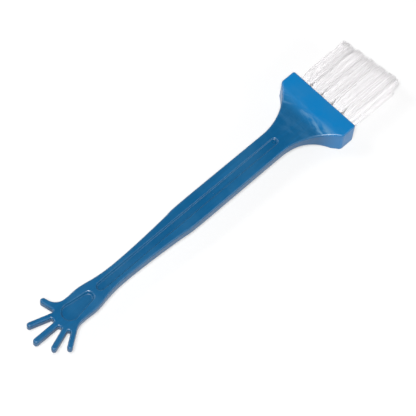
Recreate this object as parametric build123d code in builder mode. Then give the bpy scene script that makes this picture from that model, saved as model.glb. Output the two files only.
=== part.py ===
from build123d import *
from math import hypot, radians, tan
import os

# Groove brush: a one-piece moulded handle with a five-fingered hand at its -Y end, and a head
# at its +Y end that holds two rows of nylon tufts. Each tuft is folded over a flat wire anchor.
# Frame: millimetres, +Z up, +Y from the hand to the tuft tips, X = 0 on the centre line.
# The origin is at the middle of the overall length, at the level of the head's underside.

# ---- Driving dimensions -------------------------------------------------------------------

overall_length = 190.0
tip_y = overall_length / 2
hand_end_y = -overall_length / 2

# Head block
head_width = 35.4
head_height = 11.2
head_front_y = 65.6
head_corner_r = 0.9
shoulder_corner_r = 2.0

# Grip, the plate between the head and the hand
grip_thickness = 4.8
grip_top_z = 10.3
grip_bottom_z = grip_top_z - grip_thickness
hand_thickness = 3.6
hand_mid_z = (grip_top_z + grip_bottom_z) / 2
hand_top_z = hand_mid_z + hand_thickness / 2
hand_bottom_z = hand_mid_z - hand_thickness / 2
rim_r = 0.75

# Half widths of the grip, as (x, y) stations from the palm to the neck
palm_r = 5.75
palm_y = -77.75
grip_side = [
    (palm_r, -72.5),
    (5.9, -67.8),
    (4.65, -60.0),
    (3.9, -46.0),
    (4.55, -30.0),
    (5.35, -19.0),
    (5.8, -6.0),
]
neck_start = (5.65, 35.0)
flank_r = 28.3

# Side view of the neck: the plate thickens into the block along two hollow curves
neck_top_y = 48.5
block_top_y = 57.0
block_crest_r = 3.0
neck_bottom_y = 41.0
block_bottom_y = 56.0
thinning_start_y = -56.0
thinning_end_y = -72.0

# Groove along the top of the grip
groove_floor_width = 2.7
groove_draft = 27
groove_palm_y = -59.9
groove_head_y = 36.0
groove_depth_palm = 1.2
groove_depth_head = 0.6
groove_floor_r = 0.5
groove_rim_r = 0.4

# Marks of the mould in the groove's floor
gate_y = 36.3
gate_r = 1.0
gate_depth = 0.2
gate_stub_r = 0.45
gate_stub_height = 0.15
pin_y = 1.8
pin_r = 0.55
pin_height = 0.2

# Teardrop recess in the palm
recess_depth = 1.1
recess_big = (-76.0, 3.3)
recess_small = (-66.6, 1.85)
recess_draft = 20
recess_floor_r = 0.45
recess_rim_r = 0.5

# Fingers: root centre, tip centre, width
fingers = {
    "thumb": ((-5.0, -78.9), (-10.75, -80.3), 2.5),
    "index": ((-3.2, -80.2), (-6.8, -91.1), 2.2),
    "middle": ((0.0, -80.0), (0.0, hand_end_y + 1.25), 2.5),
    "ring": ((3.1, -80.0), (6.75, -90.7), 2.25),
    "little": ((5.1, -78.0), (10.7, -86.1), 2.15),
}
web_r = 0.75
thumb_crook_r = 5.4
little_crook_r = 8.0

# Tufts: holes, and the outline that the filaments splay to
tuft_columns = 5
tuft_pitch = 6.0
row_pitch = 4.7
hole_d = 4.0
hole_depth = 8.0
tuft_d = hole_d - 0.1
tuft_clearance = 0.3
fold_r = 0.9
tip_spread_x = 0.98
tip_spread_z = 1.1
tip_half_x = 2.8
tip_half_z = 2.45
splay_length = 11.0
splay_share = 0.87

# The tips are trimmed at a slant, and the bottom row is shorter
trim_slant = 0.095
bottom_row_trim = 2.4

# Anchors
anchor_length = 4.8
anchor_width = 1.6
anchor_thickness = 0.35
anchor_lift = 1.3
anchor_edge_r = 0.12

row_z = {"bottom": head_height / 2 - row_pitch / 2, "top": head_height / 2 + row_pitch / 2}
row_trim = {"bottom": bottom_row_trim, "top": 0.0}
column_x = [(i - (tuft_columns - 1) / 2) * tuft_pitch for i in range(tuft_columns)]
hole_floor_y = head_front_y - hole_depth
anchor_y = hole_floor_y + anchor_lift + anchor_width / 2


def finger_edge(name, side):
    """Point and direction of a finger's straight flank; side is +1 for the +X flank, -1 for the -X one."""
    root, tip, width = fingers[name]
    length = hypot(tip[0] - root[0], tip[1] - root[1])
    along = ((tip[0] - root[0]) / length, (tip[1] - root[1]) / length)
    across = (-along[1] * side, along[0] * side)
    return (root[0] + across[0] * width / 2, root[1] + across[1] * width / 2), along


def crook(name, side, palm_x, radius):
    """Fill between the straight side of the palm at palm_x and a finger's flank, with a hollow arc."""
    point, along = finger_edge(name, side)
    reach = (palm_x - point[0]) / along[0]
    corner = Vector(palm_x, point[1] + along[1] * reach)
    half_turn = abs(Vector(0, -1).get_angle(Vector(*along))) / 2
    tangent = radius * tan(radians(half_turn))
    start = corner + Vector(0, tangent)
    end = corner + Vector(*along) * tangent
    with BuildLine() as hollow:
        TangentArc(start, end, tangent=(0, -1))
        Polyline(end, Vector(*fingers[name][0]), start)
    make_face(hollow.edges())


def mouth_edges(part, half_width, reach, depth):
    """The edges round the mouth of a pocket in the plate's top, without its short upright ones."""
    edges = part.edges().filter_by(lambda e: abs(e.center().X) < half_width + 0.01)
    edges = edges.filter_by(lambda e: e.length > depth)
    edges = edges.filter_by(lambda e: reach[0] - 0.01 < e.center().Y < reach[1] + 0.01)
    return edges.filter_by(lambda e: e.center().Z > hand_top_z - 0.01)


# ---- Handle -------------------------------------------------------------------------------

# Hand outline: palm disc and fingers, with rounded webs and hollow crooks at the palm's sides
with BuildSketch(Plane.XY) as hand:
    with Locations((0, palm_y)):
        Circle(palm_r)
    for root, tip, width in fingers.values():
        SlotCenterPoint((Vector(*root) + Vector(*tip)) / 2, tip, width)
    offset(amount=web_r, kind=Kind.ARC)
    offset(amount=-web_r, kind=Kind.ARC)
    crook("thumb", -1, -palm_r, thumb_crook_r)
    crook("little", 1, palm_r, little_crook_r)

with BuildPart() as handle:
    # Plan outline: mirrored grip, neck and head, joined to the hand
    with BuildSketch(Plane.XY) as plan:
        with BuildLine():
            palm_side = Line((palm_r, palm_y), grip_side[0])
            side = Spline(*grip_side, tangents=[(0, 1), (0, 1)])
            neck_side = Line(side @ 1, neck_start)
            flank_rise = flank_r - head_width / 2 + neck_start[0]
            flank_end_y = neck_start[1] + (flank_r**2 - flank_rise**2) ** 0.5
            flank = RadiusArc(neck_start, (head_width / 2, flank_end_y), flank_r)
            front_corner = (head_width / 2, head_front_y)
            Polyline(flank @ 1, front_corner, (0, head_front_y), (0, palm_y), palm_side @ 0)
        make_face()
        mirror(about=Plane.YZ)
        add(hand.sketch)
        front_corners = plan.vertices().group_by(Axis.Y)[-1]
        fillet(front_corners, head_corner_r)
        shoulders = plan.vertices().filter_by(lambda v: abs(v.Y - flank_end_y) < 0.01)
        fillet(shoulders, shoulder_corner_r)
    extrude(amount=head_height)

    # Side view, seen along X: thin hand, plate, hollow curves up and down into the head block
    with BuildSketch(Plane.YZ.offset(-head_width)) as profile:
        with BuildLine():
            level = [(1, 0), (1, 0)]
            hand_start_y = hand_end_y - 1
            block_heel = (block_bottom_y, 0)
            neck_underside = (neck_bottom_y, grip_bottom_z)
            top_ease = Spline((thinning_end_y, hand_top_z), (thinning_start_y, grip_top_z), tangents=level)
            top_plate = Line(top_ease @ 1, (neck_top_y, grip_top_z))
            top_hollow = TangentArc(top_plate @ 1, (block_top_y, head_height), tangent=level[0])
            Polyline(top_hollow @ 1, (head_front_y, head_height), (head_front_y, 0), block_heel)
            TangentArc(neck_underside, block_heel, tangent=level[0])
            bottom_plate = Line((thinning_start_y, grip_bottom_z), neck_underside)
            bottom_ease = Spline((thinning_end_y, hand_bottom_z), bottom_plate @ 0, tangents=level)
            hand_start = [(hand_start_y, z) for z in (hand_bottom_z, hand_top_z)]
            Polyline(bottom_ease @ 0, *hand_start, top_ease @ 0)
        make_face()
        crest = profile.vertices().filter_by(lambda v: abs(v.X - block_top_y) < 0.01)
        fillet(crest, block_crest_r)
    extrude(amount=2 * head_width, mode=Mode.INTERSECT)

    # Rounded rims along the top and the underside
    walls = handle.faces().filter_by(lambda f: abs(f.normal_at().Z) < 0.01)
    rims = walls.edges() & (handle.faces() - walls).edges()
    fillet(rims.filter_by(lambda e: e.center().Z > hand_mid_z), rim_r)
    walls = handle.faces().filter_by(lambda f: abs(f.normal_at().Z) < 0.01)
    rims = walls.edges() & (handle.faces() - walls).edges()
    fillet(rims.filter_by(lambda e: e.center().Z < hand_mid_z), rim_r)

    # Groove: a slot with sloping walls, whose flat floor rises towards the head, all rounded
    groove_length = groove_head_y - groove_palm_y
    groove_rise = (groove_depth_palm - groove_depth_head) / groove_length
    groove_mid_y = (groove_head_y + groove_palm_y) / 2
    groove_mid_z = grip_top_z - (groove_depth_palm + groove_depth_head) / 2
    groove_floor = Plane((0, groove_mid_y, groove_mid_z), x_dir=(1, 0, 0), z_dir=(0, -groove_rise, 1))
    with BuildSketch(groove_floor):
        SlotCenterToCenter(groove_length, groove_floor_width, rotation=90)
    extrude(amount=2 * groove_depth_palm, taper=-groove_draft, mode=Mode.SUBTRACT)
    floor_face = handle.faces().sort_by(lambda f: (f.center() - groove_floor.origin).length)[0]
    fillet(floor_face.edges(), groove_floor_r)
    groove_half = groove_floor_width / 2 + groove_depth_palm * tan(radians(groove_draft))
    groove_reach = (groove_palm_y - groove_half, groove_head_y + groove_half)
    fillet(mouth_edges(handle, groove_half, groove_reach, groove_depth_palm), groove_rim_r)

    # Teardrop recess in the palm, with sloping walls
    recess_floor_z = hand_top_z - recess_depth
    with BuildSketch(Plane.XY.offset(recess_floor_z)):
        for y, radius in (recess_big, recess_small):
            with Locations((0, y)):
                Circle(radius)
        make_hull()
    extrude(amount=2 * recess_depth, taper=-recess_draft, mode=Mode.SUBTRACT)
    floor_face = handle.faces().filter_by(lambda f: abs(f.center().Z - recess_floor_z) < 0.01)[0]
    fillet(floor_face.edges(), recess_floor_r)
    recess_flare = recess_depth * tan(radians(recess_draft))
    recess_half = recess_big[1] + recess_flare
    recess_reach = (recess_big[0] - recess_half, recess_small[0] + recess_small[1] + recess_flare)
    fillet(mouth_edges(handle, recess_half, recess_reach, recess_depth), recess_rim_r)

    # Marks of the mould: a sunk gate with its stub at the groove's head end, and a pin mark
    with BuildSketch(groove_floor.offset(gate_stub_height)):
        with Locations((0, gate_y - groove_mid_y)):
            Circle(gate_stub_r)
    extrude(amount=-gate_stub_height - gate_depth)
    with BuildSketch(groove_floor.offset(-gate_depth)):
        with Locations((0, gate_y - groove_mid_y)):
            Circle(gate_r)
            Circle(gate_stub_r, mode=Mode.SUBTRACT)
    extrude(amount=head_height, mode=Mode.SUBTRACT)
    with BuildSketch(groove_floor):
        with Locations((0, pin_y - groove_mid_y)):
            Circle(pin_r)
    extrude(amount=pin_height)

    # Holes for the tufts, and the cuts that the anchors make in their walls
    with BuildSketch(Plane.XZ.offset(-head_front_y)):
        with Locations((0, head_height / 2)):
            with GridLocations(tuft_pitch, row_pitch, tuft_columns, 2):
                Circle(hole_d / 2)
    extrude(amount=hole_depth, mode=Mode.SUBTRACT)
    with Locations(*[(x, anchor_y, z) for x in column_x for z in row_z.values()]):
        Box(anchor_length, anchor_width, anchor_thickness, mode=Mode.SUBTRACT)

handle.part.label = "handle"


# ---- Tufts and anchors --------------------------------------------------------------------


def make_tuft(name, x, z, trim):
    """A bundle of filaments: a plug folded over its anchor, and a free length that splays."""
    base_r = tuft_d / 2
    tuft_tip_y = tip_y - trim
    end_x = x * tip_spread_x
    end_z = head_height / 2 + (z - head_height / 2) * tip_spread_z
    with BuildPart() as tuft:
        with BuildSketch(Plane.XZ.offset(-head_front_y)):
            with Locations((x, z)):
                Circle(base_r)
        extrude(amount=hole_depth - tuft_clearance)
        fillet(tuft.edges().sort_by(Axis.Y)[0], fold_r)
        for y, share in ((head_front_y, 0), (head_front_y + splay_length, splay_share), (tuft_tip_y, 1)):
            with BuildSketch(Plane.XZ.offset(-y)):
                with Locations((x + (end_x - x) * share, z + (end_z - z) * share)):
                    Ellipse(base_r + (tip_half_x - base_r) * share, base_r + (tip_half_z - base_r) * share)
        loft(ruled=True)
        with Locations((x, anchor_y, z)):
            Box(anchor_length, anchor_width, anchor_thickness, mode=Mode.SUBTRACT)
    tuft.part.label = name
    return tuft.part


def make_anchor(name, x, z):
    """A short length of flat wire across the bottom of the hole, its ends pressed into the head."""
    with BuildPart() as anchor:
        with Locations((x, anchor_y, z)):
            Box(anchor_length, anchor_width, anchor_thickness)
        fillet(anchor.edges().filter_by(Axis.X), anchor_edge_r)
    anchor.part.label = name
    return anchor.part


pieces = [handle.part]
for row, z in row_z.items():
    for column, x in enumerate(column_x, start=1):
        trim = row_trim[row] + trim_slant * (column_x[-1] - x)
        pieces.append(make_tuft(f"tuft_{row}_{column}", x, z, trim))
        pieces.append(make_anchor(f"anchor_{row}_{column}", x, z))

os.makedirs("parts", exist_ok=True)
for piece in pieces:
    export_step(piece, f"parts/{piece.label}.step")
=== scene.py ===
import random
from math import cos, pi, radians, sin, sqrt, tau

import bpy
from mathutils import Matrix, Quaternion, Vector, noise


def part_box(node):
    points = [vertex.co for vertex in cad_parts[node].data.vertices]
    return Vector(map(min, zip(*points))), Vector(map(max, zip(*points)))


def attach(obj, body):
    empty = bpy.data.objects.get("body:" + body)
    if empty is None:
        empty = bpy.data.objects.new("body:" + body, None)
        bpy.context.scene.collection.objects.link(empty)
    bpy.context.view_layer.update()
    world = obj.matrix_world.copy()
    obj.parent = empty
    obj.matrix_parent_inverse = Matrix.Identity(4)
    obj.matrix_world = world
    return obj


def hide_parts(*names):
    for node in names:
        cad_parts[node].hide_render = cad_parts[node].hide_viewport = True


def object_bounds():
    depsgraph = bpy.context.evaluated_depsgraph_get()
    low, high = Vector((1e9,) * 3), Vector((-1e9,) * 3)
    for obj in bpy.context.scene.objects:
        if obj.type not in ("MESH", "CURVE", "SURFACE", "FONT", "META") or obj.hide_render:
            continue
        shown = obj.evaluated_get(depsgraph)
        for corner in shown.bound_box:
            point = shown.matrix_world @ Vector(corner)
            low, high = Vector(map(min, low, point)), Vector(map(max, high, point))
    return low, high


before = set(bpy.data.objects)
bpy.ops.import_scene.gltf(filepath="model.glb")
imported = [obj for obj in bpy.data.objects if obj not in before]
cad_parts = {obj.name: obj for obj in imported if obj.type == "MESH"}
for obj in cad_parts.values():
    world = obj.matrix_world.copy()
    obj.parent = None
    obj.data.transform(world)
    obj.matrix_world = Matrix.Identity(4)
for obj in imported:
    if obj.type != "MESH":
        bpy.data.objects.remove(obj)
cad_low, cad_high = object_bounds()

# Groove brush in its own frame, in metres: +Y from the fingers to the tuft tips, +Z up, X = 0 on the
# centre line. The handle keeps its CAD shape and gets a moulded-plastic material. Each tuft is
# replaced by its separate nylon filaments, folded over the flat wire that holds them in their hole.

MM = 0.001

# ---- Camera and light ---------------------------------------------------------------------

camera_aim = Vector((0.00364, -0.00499, 0.010))
camera_azimuth = radians(38.73)
camera_elevation = radians(61.46)
camera_roll = radians(7.70)
camera_distance = 0.8932
camera_lens = 194.7
sensor_width = 36.0

# The surround's colour round the horizon and overhead, and the heights that it changes between
surround_low = (1.0, 1.0, 1.0)
surround_high = (0.03, 0.03, 0.035)
surround_heights = (0.30, 0.70)
surround_strength = 1.0

# Soft boxes: name, position, size, power in watts
soft_boxes = [
    ("key_box", (0.32, -0.48, 1.17), 0.28, 24.0),
    ("fill_box", (-0.80, -0.35, 0.85), 0.40, 5.0),
    ("side_box", (0.81, 0.37, 0.45), 0.20, 1.8),
]

floor_size = 6.0
floor_glow = 0.42
floor_tones = ((0.33, 0.33, 0.33), (0.35, 0.35, 0.35))

# ---- Plastic ------------------------------------------------------------------------------

# Painted light: the head block is painted a lighter blue than the grip
head_lit_blue = (0.0006, 0.116, 0.300)
grip_blue = (0.0006, 0.057, 0.145)
# A paler blue for wear, specks and hairlines, which also paints the highlight along the rims
worn_and_highlight_blue = (0.012, 0.100, 0.200)
# The pale blue of the painted highlight band across the neck and of the fainter scuffs
pale_blue = (0.060, 0.165, 0.290)
plastic_gloss = 0.45
head_start_y = 50 * MM
head_full_y = 58 * MM

# Painted highlight: a pale band across the neck where it rises into the head, broken into blotches;
# and fainter scuff smears that fade in and out along the neck
sheen_band_low_y = 50.5 * MM
sheen_band_high_y = 57.5 * MM
sheen_band_edge = 3 * MM
smear_start_y = 34 * MM
smear_full_y = 46 * MM
smear_end_y = 61.5 * MM

# ---- Filaments ----------------------------------------------------------------------------

nylon_tones = ((0.65, 0.64, 0.645), (0.77, 0.755, 0.765))
# Painted shade: the filaments darken towards the hole, next to the head
nylon_root_shade = (0.63, 0.61, 0.60)
nylon_streak = (0.62, 0.61, 0.62)
root_start_y = 64 * MM
root_end_y = 68 * MM

filament_r = 0.11 * MM
filament_sides = 5
filament_pitch = 0.236 * MM
filament_jitter = 0.03 * MM
free_stations = 9
bend_stations = 4
bundle_r = 1.84 * MM
mouth_inset = 1.0 * MM
# Free length: the stations crowd towards the mouth, where the bundle spreads
station_power = 1.5
splay_power = 12

lean = 0.30 * MM
lean_scale = 420
flutter = 0.07 * MM
trim_depth = 0.55 * MM
strays_per_tuft = 3
noise_seed = 11
stray_lean = 0.9 * MM
corner_fill = 0.65
mingling = 1.12
trim_slant = 0.095
tuft_slant = 0.25 * MM


# ---- Node helpers -------------------------------------------------------------------------


class Nodes:
    """A material's node tree, built by short calls that return output sockets."""

    def __init__(self, name):
        self.material = bpy.data.materials.new(name)
        self.material.use_nodes = True
        self.tree = self.material.node_tree
        self.tree.nodes.clear()
        self.place = self.add("ShaderNodeTexCoord").outputs["Object"]

    def add(self, kind, inputs=None, **settings):
        """A node with its settings, and its inputs set to values or linked from sockets."""
        node = self.tree.nodes.new(kind)
        for key, value in settings.items():
            setattr(node, key, value)
        for key, value in (inputs or {}).items():
            if isinstance(value, bpy.types.NodeSocket):
                self.tree.links.new(value, node.inputs[key])
            else:
                node.inputs[key].default_value = value
        return node

    def stretched(self, scale):
        """Object coordinates multiplied by scale along each axis, for grain that runs one way."""
        return self.add("ShaderNodeMapping", {"Vector": self.place, "Scale": scale}).outputs[0]

    def noise(self, scale, detail=2.0, roughness=0.5, vector=None, distortion=0.0):
        inputs = {"Vector": vector or self.place, "Scale": scale, "Detail": detail}
        inputs.update({"Roughness": roughness, "Distortion": distortion})
        return self.add("ShaderNodeTexNoise", inputs).outputs["Fac"]

    def cells(self, scale, vector):
        """The distance to the nearest edge of a cell."""
        inputs = {"Vector": vector, "Scale": scale}
        return self.add("ShaderNodeTexVoronoi", inputs, feature="DISTANCE_TO_EDGE").outputs["Distance"]

    def span(self, value, low, high, to_low=0.0, to_high=1.0, smooth=True):
        """value between low and high, remapped to run from to_low to to_high, and held beyond."""
        inputs = {"Value": value, "From Min": low, "From Max": high}
        inputs.update({"To Min": to_low, "To Max": to_high})
        kind = "SMOOTHSTEP" if smooth else "LINEAR"
        return self.add("ShaderNodeMapRange", inputs, interpolation_type=kind).outputs[0]

    def math(self, operation, a, b=0.0):
        return self.add("ShaderNodeMath", {0: a, 1: b}, operation=operation).outputs[0]

    def times(self, a, b):
        return self.math("MULTIPLY", a, b)

    def plus(self, a, b):
        return self.math("ADD", a, b)

    def blend(self, share, a, b):
        """Colour a, turning to colour b as share goes from 0 to 1."""
        a, b = (c if isinstance(c, bpy.types.NodeSocket) else (*c, 1.0) for c in (a, b))
        return self.add("ShaderNodeMix", {0: share, 6: a, 7: b}, data_type="RGBA").outputs[2]

    def bump(self, height, distance, strength=1.0, normal=None):
        inputs = {"Height": height, "Distance": distance, "Strength": strength}
        if normal:
            inputs["Normal"] = normal
        return self.add("ShaderNodeBump", inputs).outputs[0]

    def surface(self, **inputs):
        """The Principled shader on the output; underscores in the names stand for spaces."""
        named = {key.replace("_", " "): value for key, value in inputs.items()}
        shader = self.add("ShaderNodeBsdfPrincipled", named)
        self.add("ShaderNodeOutputMaterial", {"Surface": shader.outputs[0]})
        return self.material


# ---- Materials ----------------------------------------------------------------------------


def moulded_plastic():
    """Blue polypropylene: flow streaks, hazy gloss and hairline scratches; painted light: a head
    painted lighter than the grip, paler rims that are partly wear and partly painted highlight, and a
    painted highlight band across the neck.
    """
    n = Nodes("handle_plastic")
    along = n.add("ShaderNodeSeparateXYZ", {0: n.place}).outputs["Y"]
    normal = n.add("ShaderNodeNewGeometry").outputs["Normal"]
    facing = n.add("ShaderNodeSeparateXYZ", {0: normal}).outputs["Z"]
    slope = n.math("ABSOLUTE", facing)

    cloud = n.noise(70, detail=4, roughness=0.55)
    streak = n.noise(1.0, detail=3, vector=n.stretched((900, 45, 900)), distortion=0.4)
    grain = n.noise(2600, detail=3, roughness=0.6)
    speck = n.span(n.noise(1500, detail=1), 0.70, 0.78)

    # Paler where the rounded rims turn from the top or the underside into the walls: partly edge wear,
    # partly painted highlight
    rim = n.times(n.span(slope, 0.25, 0.6), n.span(slope, 0.97, 0.75))
    rub = n.span(n.noise(420, detail=4, roughness=0.7), 0.38, 0.62)
    rim_wear_and_highlight = n.times(rim, n.plus(n.times(rub, 0.22), 0.10))

    # A painted highlight band, broken into blotches, where the neck rises into the head, with fainter
    # scuff blotches down the neck
    band_start = n.span(along, sheen_band_low_y, sheen_band_low_y + sheen_band_edge)
    band_end = n.span(along, sheen_band_high_y, sheen_band_high_y - sheen_band_edge)
    sheen_band = n.times(band_start, band_end)
    fade_in = n.span(along, smear_start_y, smear_full_y)
    fade = n.times(fade_in, n.span(along, smear_end_y, sheen_band_high_y))
    smear = n.noise(1.0, detail=5, roughness=0.6, vector=n.stretched((110, 260, 110)), distortion=0.6)
    blotches = n.times(n.span(smear, 0.44, 0.66), n.plus(n.times(sheen_band, 0.95), n.times(fade, 0.14)))
    scuff_and_sheen = n.times(blotches, n.span(facing, 0.6, 0.9))

    # Hairlines: thin cell edges, kept only in scattered patches
    hair = n.span(n.cells(95, vector=n.stretched((1.0, 0.35, 1.0))), 0.0025, 0.0, smooth=False)
    patch = n.span(n.noise(160, detail=2), 0.50, 0.62)
    hairline = n.times(hair, patch)

    # Painted light: the colour turns from the grip's blue to the lighter painted blue of the head
    # block
    base = n.blend(n.span(along, head_start_y, head_full_y), grip_blue, head_lit_blue)
    pale = n.blend(n.times(n.span(cloud, 0.35, 0.70), 0.22), base, worn_and_highlight_blue)
    streaked = n.blend(n.times(n.span(streak, 0.45, 0.75), 0.12), pale, head_lit_blue)
    # Rims turn paler: partly edge wear, partly painted highlight
    marked = n.blend(n.plus(rim_wear_and_highlight, n.times(hairline, 0.25)), streaked, worn_and_highlight_blue)
    # Painted highlight: the neck band, and the fainter scuffs, turn the colour pale
    scuffed_and_sheened = n.blend(scuff_and_sheen, marked, pale_blue)
    colour = n.blend(n.times(speck, 0.18), scuffed_and_sheened, worn_and_highlight_blue)

    haze = n.span(cloud, 0.30, 0.75, 0.28, 0.38)
    roughness = n.plus(n.plus(haze, n.times(grain, 0.05)), n.times(hairline, 0.15))

    waves = n.bump(cloud, 0.06 * MM, 0.35)
    texture = n.bump(grain, 0.012 * MM, 0.45, normal=waves)
    return n.surface(
        Base_Color=colour,
        Roughness=roughness,
        Normal=n.bump(hairline, -0.02 * MM, 0.6, normal=texture),
        Specular_IOR_Level=plastic_gloss,
    )


def nylon():
    """White nylon: each filament its own tone, with painted shade making it a little darker near the
    hole.
    """
    n = Nodes("filament")
    own = n.add("ShaderNodeNewGeometry").outputs["Random Per Island"]
    along = n.add("ShaderNodeSeparateXYZ", {0: n.place}).outputs["Y"]
    root = n.span(along, root_start_y, root_end_y)
    streak = n.noise(1.0, detail=2, vector=n.stretched((5000, 260, 5000)))
    shade = n.blend(own, *nylon_tones)
    # Painted shade: darker towards the hole
    root_shaded = n.blend(root, nylon_root_shade, shade)
    colour = n.blend(n.times(streak, 0.10), root_shaded, nylon_streak)
    roughness = n.span(streak, 0.2, 0.8, 0.45, 0.62)
    normal = n.bump(streak, 0.01 * MM, 0.3)
    return n.surface(
        Base_Color=colour,
        Roughness=roughness,
        Normal=normal,
        Specular_IOR_Level=0.2,
        Subsurface_Weight=0.7,
        Subsurface_Radius=(0.2 * MM, 0.2 * MM, 0.2 * MM),
        Subsurface_Scale=1.0,
    )


def anchor_steel():
    """Flat steel wire with drawing lines along its length."""
    n = Nodes("anchor_wire")
    lines = n.noise(1.0, detail=4, vector=n.stretched((120, 9000, 9000)))
    stain = n.noise(900, detail=3)
    bright = n.blend(lines, (0.48, 0.48, 0.47), (0.66, 0.66, 0.65))
    colour = n.blend(n.times(n.span(stain, 0.5, 0.8), 0.4), bright, (0.32, 0.30, 0.27))
    roughness = n.span(lines, 0.3, 0.7, 0.24, 0.42)
    normal = n.bump(lines, 0.004 * MM, 0.4)
    return n.surface(Base_Color=colour, Metallic=1.0, Roughness=roughness, Normal=normal)


def floor_white():
    """Matt table that glows from below, as product tables do, so that it comes out near white."""
    n = Nodes("floor_white")
    soft = n.noise(6, detail=2)
    return n.surface(
        Base_Color=n.blend(soft, *floor_tones),
        Roughness=0.9,
        Emission_Color=(1.0, 1.0, 1.0, 1.0),
        Emission_Strength=floor_glow,
    )


# ---- Filaments ----------------------------------------------------------------------------


def disc_places(radius, rng):
    """Jittered places, packed like filaments, in the upper half of a disc of that radius."""
    row_step = filament_pitch * sqrt(3) / 2
    rows = int(radius / row_step) + 1
    columns = int(2 * radius / filament_pitch) + 2
    places = []
    for row in range(rows):
        z = (row + 0.5) * row_step
        for column in range(-columns, columns + 1):
            x = (column + (row % 2) / 2) * filament_pitch
            if x * x + z * z < radius * radius:
                dx = rng.uniform(-filament_jitter, filament_jitter)
                dz = rng.uniform(-filament_jitter, filament_jitter)
                places.append((x + dx, z + dz))
    return places


def squareness(x, z):
    """How much further out a filament goes where neighbouring tufts press the bundle square."""
    reach = max(abs(x), abs(z), 1e-9) / max(sqrt(x * x + z * z), 1e-9)
    return reach**-corner_fill


class Tuft:
    """Where a tuft's filaments go: the hole, the anchor they fold over, and the spread of the tips."""

    def __init__(self, tuft_node, anchor_node):
        low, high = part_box(tuft_node)
        anchor_low, anchor_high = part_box(anchor_node)
        self.x = (anchor_low.x + anchor_high.x) / 2
        self.z = (anchor_low.z + anchor_high.z) / 2
        self.fold_y = anchor_low.y
        self.over_y = anchor_high.y + 4 * filament_r
        self.fold_room = anchor_low.y - low.y - filament_r
        self.anchor_half = (anchor_high.z - anchor_low.z) / 2 + filament_r
        self.mouth_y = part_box("handle")[1].y
        self.tip_y = high.y
        self.tip_x = (low.x + high.x) / 2
        self.tip_z = (low.z + high.z) / 2
        self.spread_x = (high.x - low.x) / 2 / bundle_r * mingling
        self.spread_z = (high.z - low.z) / 2 / bundle_r * mingling

    def end_path(self, place, side, bow, trim):
        """Points of one free end, from beside the anchor to its tip; side is 1 above it, -1 below."""
        x, z = place
        squeeze = (bundle_r - self.anchor_half) / bundle_r
        beside_z = side * (self.anchor_half + z * squeeze)
        points = [Vector((self.x + x, y, self.z + beside_z)) for y in (self.fold_y, self.over_y)]
        points.append(Vector((self.x + x, self.mouth_y - mouth_inset, self.z + side * z)))
        start = Vector((self.x + x, self.mouth_y, self.z + side * z))
        fill = squareness(x, z)
        end_x = self.tip_x + x * self.spread_x * fill
        end_z = self.tip_z + side * z * self.spread_z * fill
        end = Vector((end_x, self.mouth_y, end_z))
        free_length = Vector((0, self.tip_y - trim - self.mouth_y, 0))
        for step in range(free_stations + 1):
            share = (step / free_stations) ** station_power
            splay = 1 - (1 - share) ** splay_power
            point = start.lerp(end, splay) + (bow + free_length) * share
            point.z = max(point.z, cad_low.z + filament_r)
            points.append(point)
        return points

    def fold(self, upper, lower):
        """Points of the bend under the anchor, from the start of one end to the start of the other."""
        middle = (upper + lower) / 2
        reach = (upper - lower) / 2
        depth = min(self.fold_room, max(filament_r, reach.length * 0.5))
        points = []
        for step in range(1, bend_stations):
            angle = pi * step / bend_stations
            points.append(middle + reach * cos(angle) - Vector((0, depth * sin(angle), 0)))
        return points


def add_tube(vertices, faces, points, radius):
    """A smooth closed tube along points, with a short domed cap at each end."""
    first = len(vertices)
    side = Vector((0, 0, 1))
    for index, point in enumerate(points):
        before = points[max(index - 1, 0)]
        after = points[min(index + 1, len(points) - 1)]
        along = (after - before).normalized()
        across = along.cross(side)
        if across.length < 0.2:
            across = Vector((1, 0, 0))
        across.normalize()
        side = across.cross(along).normalized()
        for corner in range(filament_sides):
            angle = tau * corner / filament_sides
            vertices.append(point + (across * cos(angle) + side * sin(angle)) * radius)
    for ring in range(len(points) - 1):
        for corner in range(filament_sides):
            a = first + ring * filament_sides + corner
            b = first + ring * filament_sides + (corner + 1) % filament_sides
            faces.append((a, b, b + filament_sides, a + filament_sides))
    last = first + (len(points) - 1) * filament_sides
    for ring, end, inner in ((first, points[0], points[1]), (last, points[-1], points[-2])):
        vertices.append(end + (end - inner).normalized() * radius * 0.5)
        cap = len(vertices) - 1
        for corner in range(filament_sides):
            a = ring + corner
            b = ring + (corner + 1) % filament_sides
            faces.append((b, a, cap) if ring == first else (a, b, cap))


def bow_at(x, z, rng):
    """Sideways lean of a filament's tip: neighbours lean together, each with a little of its own."""
    drift = noise.noise_vector(Vector((x, z, 0)) * lean_scale)
    own = Vector((rng.gauss(0, 1), 0, rng.gauss(0, 1))) * flutter
    return Vector((drift.x, 0, drift.y)) * lean + own


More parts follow.
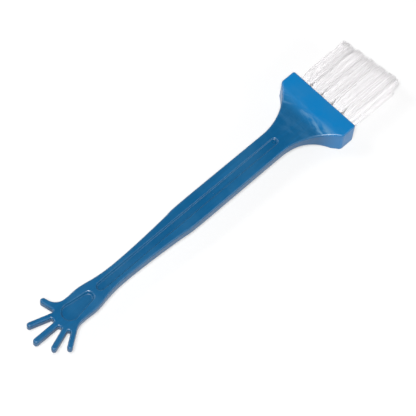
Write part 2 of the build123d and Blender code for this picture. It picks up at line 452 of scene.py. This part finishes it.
def make_tuft(row, column, material):
    """The mesh of one tuft: filaments folded over the anchor, with both ends free."""
    tuft_node = f"tuft_{row}_{column}"
    rng = random.Random(f"{row} {column}")
    tuft = Tuft(tuft_node, f"anchor_{row}_{column}")
    vertices, faces = [], []
    places = disc_places(bundle_r, rng)
    strays = set(rng.sample(range(len(places)), strays_per_tuft))
    slant = rng.uniform(-tuft_slant, tuft_slant) / bundle_r
    for index, place in enumerate(places):
        ends = []
        for side in (1, -1):
            x, z = place
            bow = bow_at(tuft.tip_x + x, tuft.tip_z + side * z, rng)
            if index in strays:
                bow += Vector((rng.uniform(-1, 1), 0, rng.uniform(0, 1) * side)) * stray_lean
            trim = trim_depth * rng.random() ** 2 + abs(slant * x)
            trim -= trim_slant * tuft.spread_x * x
            ends.append(tuft.end_path(place, side, bow, trim))
        upper, lower = ends
        points = upper[::-1] + tuft.fold(upper[0], lower[0]) + lower
        add_tube(vertices, faces, points, filament_r * rng.uniform(0.9, 1.08))
    mesh = bpy.data.meshes.new(f"bristles_{row}_{column}")
    mesh.from_pydata(vertices, [], faces)
    mesh.polygons.foreach_set("use_smooth", [True] * len(mesh.polygons))
    mesh.materials.append(material)
    piece = bpy.data.objects.new(mesh.name, mesh)
    bpy.context.scene.collection.objects.link(piece)
    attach(piece, "root")
    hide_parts(tuft_node)


# ---- Scene --------------------------------------------------------------------------------


def set_material(obj, material):
    obj.data.materials.clear()
    obj.data.materials.append(material)


def make_camera():
    """The camera, on an arm from the point that it aims at, turned about its own axis by the roll."""
    back = Vector(
        (
            sin(camera_azimuth) * cos(camera_elevation),
            -cos(camera_azimuth) * cos(camera_elevation),
            sin(camera_elevation),
        )
    )
    camera = bpy.data.objects.new("camera", bpy.data.cameras.new("camera"))
    camera.data.lens = camera_lens
    camera.data.sensor_width = sensor_width
    camera.data.clip_start = 0.01
    camera.data.clip_end = 20
    camera.location = camera_aim + back * camera_distance
    camera.rotation_mode = "QUATERNION"
    camera.rotation_quaternion = back.to_track_quat("Z", "Y") @ Quaternion((0, 0, 1), camera_roll)
    bpy.context.scene.collection.objects.link(camera)
    bpy.context.scene.camera = camera


def make_soft_box(name, position, size, power):
    """A square area light that faces the middle of the brush."""
    light = bpy.data.lights.new(name, "AREA")
    light.size = size
    light.energy = power
    box = bpy.data.objects.new(name, light)
    box.location = position
    box.rotation_mode = "QUATERNION"
    box.rotation_quaternion = Vector(position).to_track_quat("Z", "Y")
    bpy.context.scene.collection.objects.link(box)


def make_surround():
    """A studio surround: white round the horizon, nearly black overhead."""
    world = bpy.data.worlds.new("surround")
    world.use_nodes = True
    tree = world.node_tree
    tree.nodes.clear()
    place = tree.nodes.new("ShaderNodeTexCoord")
    split = tree.nodes.new("ShaderNodeSeparateXYZ")
    ramp = tree.nodes.new("ShaderNodeValToRGB")
    background = tree.nodes.new("ShaderNodeBackground")
    output = tree.nodes.new("ShaderNodeOutputWorld")
    for index, colour in enumerate((surround_low, surround_high)):
        ramp.color_ramp.elements[index].position = surround_heights[index]
        ramp.color_ramp.elements[index].color = (*colour, 1)
    background.inputs["Strength"].default_value = surround_strength
    tree.links.new(place.outputs["Generated"], split.inputs[0])
    tree.links.new(split.outputs["Z"], ramp.inputs[0])
    tree.links.new(ramp.outputs[0], background.inputs["Color"])
    tree.links.new(background.outputs[0], output.inputs["Surface"])
    bpy.context.scene.world = world


def make_floor():
    """A plain pale table at the level that the head rests on."""
    half = floor_size / 2
    corners = [(x * half, y * half, cad_low.z) for x, y in ((-1, -1), (1, -1), (1, 1), (-1, 1))]
    mesh = bpy.data.meshes.new("floor")
    mesh.from_pydata(corners, [], [(0, 1, 2, 3)])
    floor = bpy.data.objects.new("floor", mesh)
    set_material(floor, floor_white())
    bpy.context.scene.collection.objects.link(floor)


make_camera()
for soft_box in soft_boxes:
    make_soft_box(*soft_box)
make_surround()
make_floor()
bpy.context.scene.view_settings.view_transform = "Standard"

set_material(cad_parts["handle"], moulded_plastic())
steel = anchor_steel()
white = nylon()
noise.seed_set(noise_seed)
for row in ("bottom", "top"):
    for column in range(1, 6):
        set_material(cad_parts[f"anchor_{row}_{column}"], steel)
        set_material(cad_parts[f"tuft_{row}_{column}"], white)
        make_tuft(row, column, white)
